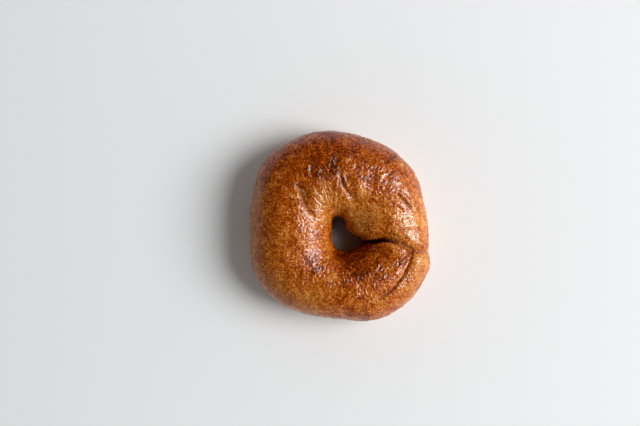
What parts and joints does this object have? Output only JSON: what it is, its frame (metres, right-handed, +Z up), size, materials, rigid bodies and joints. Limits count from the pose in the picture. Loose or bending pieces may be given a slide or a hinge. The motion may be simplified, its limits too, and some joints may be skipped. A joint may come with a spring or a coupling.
{
  "type": "bagel",
  "caption": "Hand-rolled, boiled and baked bagel with a small uneven hole and a lapped seam where the rope's ends were pressed together.",
  "frame": {"origin": "middle of the bagel's base, on the surface that it lies on", "axes": "+Z up out of the base, +Y along the bagel's longer side, and +X across it towards the lapped seam"},
  "size_m": [0.104, 0.11, 0.0393],
  "materials": {
    "crust": "boiled and baked crust, satin and finely blistered"
  },
  "bodies": {
    "root": {"bagel": "crust"}
  },
  "joints": []
}
